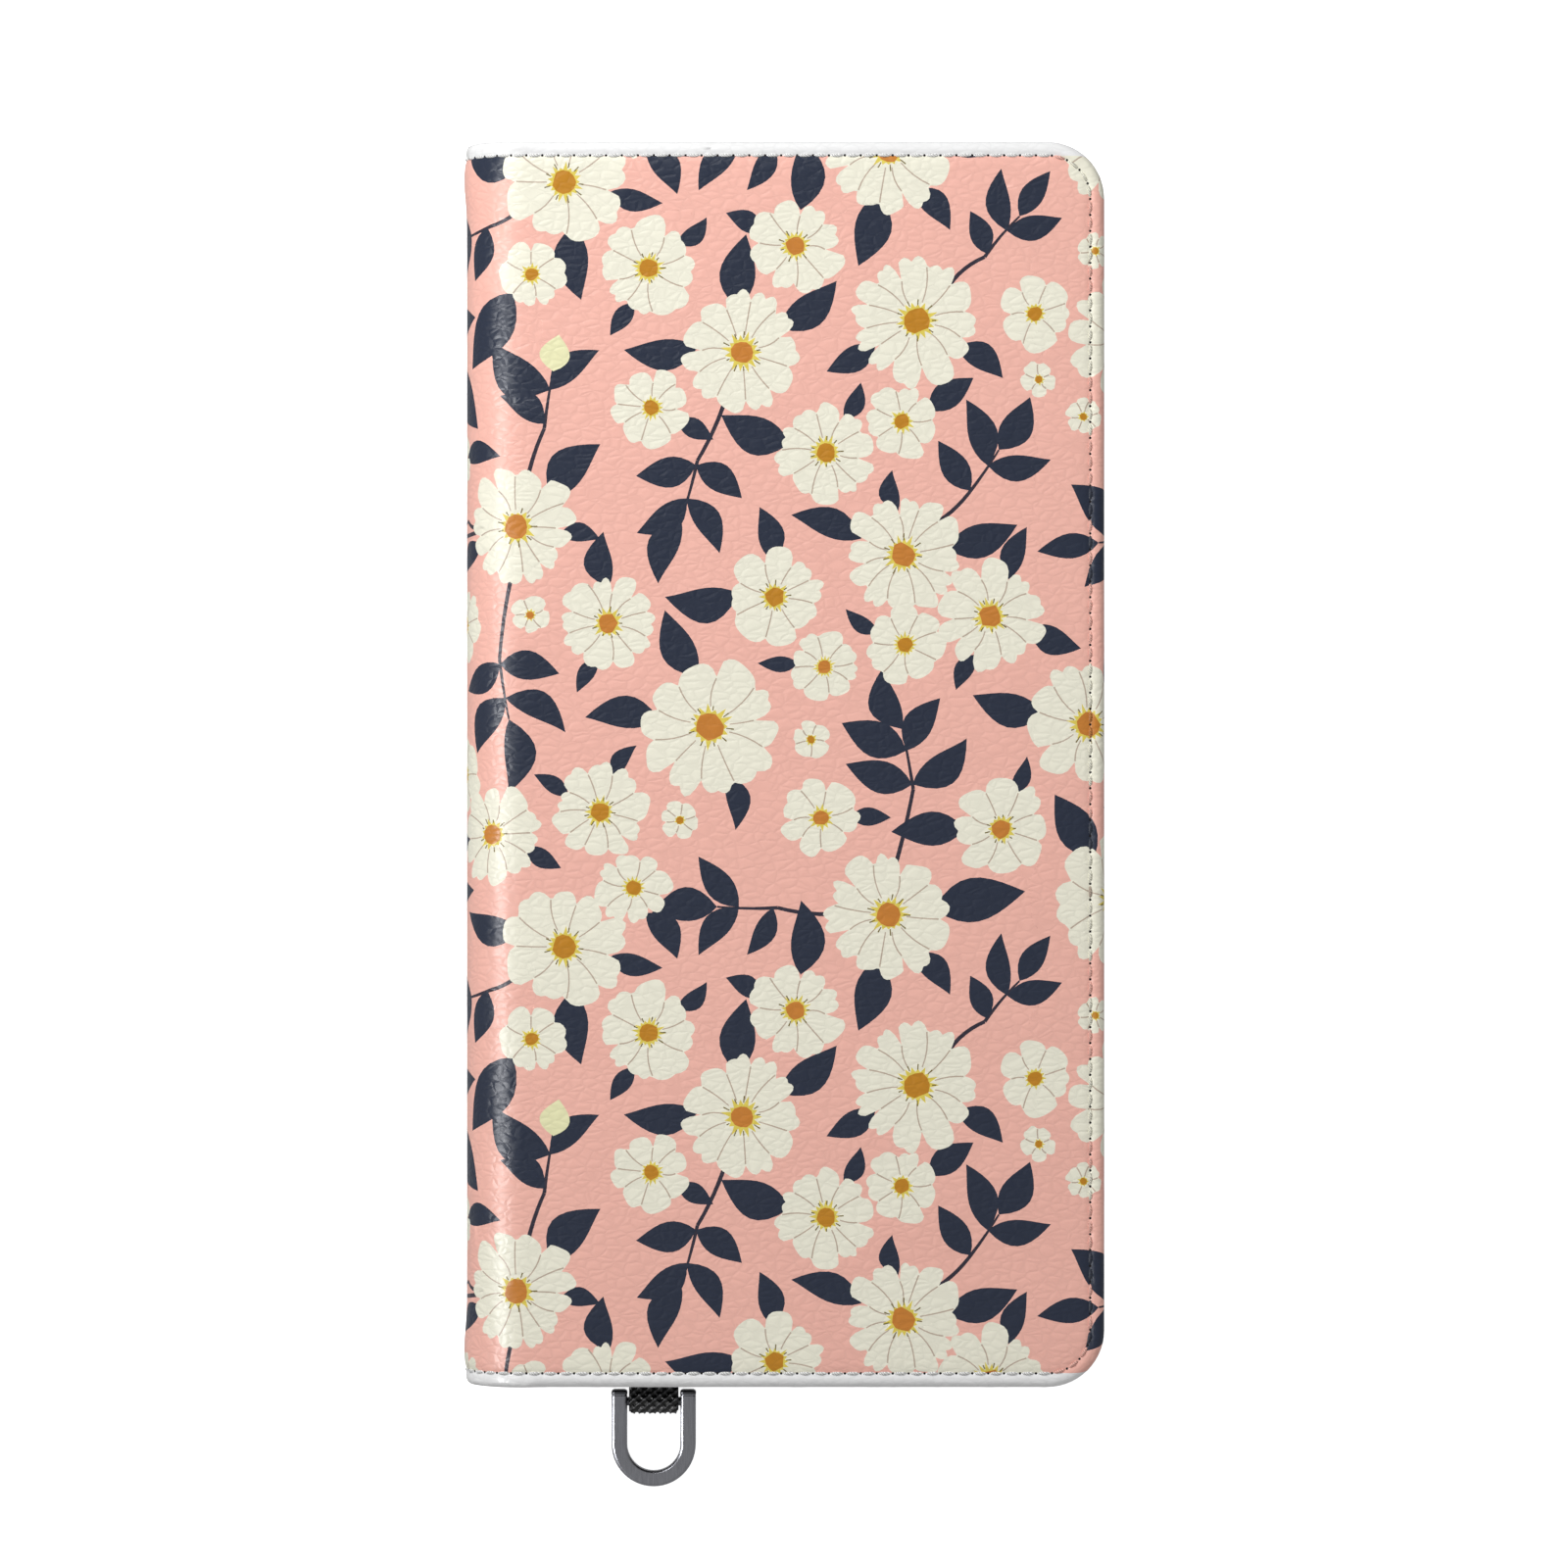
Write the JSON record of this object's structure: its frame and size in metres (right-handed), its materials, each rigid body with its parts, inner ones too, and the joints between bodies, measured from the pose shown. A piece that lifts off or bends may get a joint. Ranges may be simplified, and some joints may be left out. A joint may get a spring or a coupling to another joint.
{
  "type": "folio phone case",
  "caption": "Book-style phone case with a printed leather cover, card pockets inside, a gripping tray and a metal ring for a strap.",
  "frame": {"origin": "centre of the back cover's outer face, between the spine and the free edge and between the top and bottom edges", "axes": "+Z out of the front cover of the closed case, +Y towards the phone's top, +X towards the free edge, so the spine is at -X"},
  "size_m": [0.0864, 0.1828, 0.018],
  "materials": {
    "printed_leather": "pebbled synthetic leather, printed",
    "board": "pressed fibre board",
    "lining": "fine-grained black synthetic leather",
    "thread": "polyester thread",
    "foam": "thin foam",
    "tray": "matt flexible plastic",
    "adhesive": "double-sided tape",
    "steel": "plain steel",
    "magnet": "nickel-plated magnet",
    "ring_metal": "dark polished plating",
    "loop_fabric": "embossed black synthetic leather strap",
    "button": "matt flexible plastic"
  },
  "bodies": {
    "back": {"back_cover_leather": "printed_leather", "back_stiffener_board": "board", "back_lining": "lining", "back_seam_thread": "thread", "tray_adhesive_sheet": "adhesive", "phone_tray": "tray", "strike_plates": "steel", "d_ring_loop": "loop_fabric"},
    "spine": {"spine_leather": "printed_leather", "spine_stiffener": "board", "spine_lining": "lining", "spine_seam_threads": "thread"},
    "front": {"front_cover_leather": "printed_leather", "front_foam_pad": "foam", "front_stiffener_board": "board", "front_lining": "lining", "cash_pocket": "lining", "card_pocket_1": "lining", "card_pocket_2": "lining", "card_pocket_3": "lining", "closure_magnets": "magnet", "front_seam_thread": "thread"},
    "ring": {"d_ring": "ring_metal", "d_ring_pin": "ring_metal"},
    "volume": {"volume_button": "button"},
    "power": {"power_button": "button"}
  },
  "joints": [
    {"name": "spine_fold", "type": "hinge", "parent": "back", "child": "spine", "pos_m": [-0.04143, 0, 0.00172], "axis": [0, -1, 0], "range_deg": [0, 90]},
    {"name": "cover_fold", "type": "hinge", "parent": "spine", "child": "front", "pos_m": [-0.04143, 0, 0.01628], "axis": [0, -1, 0], "range_deg": [0, 90]},
    {"name": "ring_swing", "type": "hinge", "parent": "back", "child": "ring", "pos_m": [-0.0179, -0.0872, 0.00165], "axis": [-1, 0, 0], "range_deg": [-95, 95]},
    {"name": "volume_press", "type": "slide", "parent": "back", "child": "volume", "axis": [-1, 0, 0], "range_m": [0, 0.0004], "stiffness_N_per_m": 2000, "springref_m": -0.0003},
    {"name": "power_press", "type": "slide", "parent": "back", "child": "power", "axis": [-1, 0, 0], "range_m": [0, 0.0004], "stiffness_N_per_m": 2000, "springref_m": -0.0003}
  ],
  "couplings": [
    {"joint": "spine_fold", "follows": "cover_fold", "ratio": 1}
  ]
}
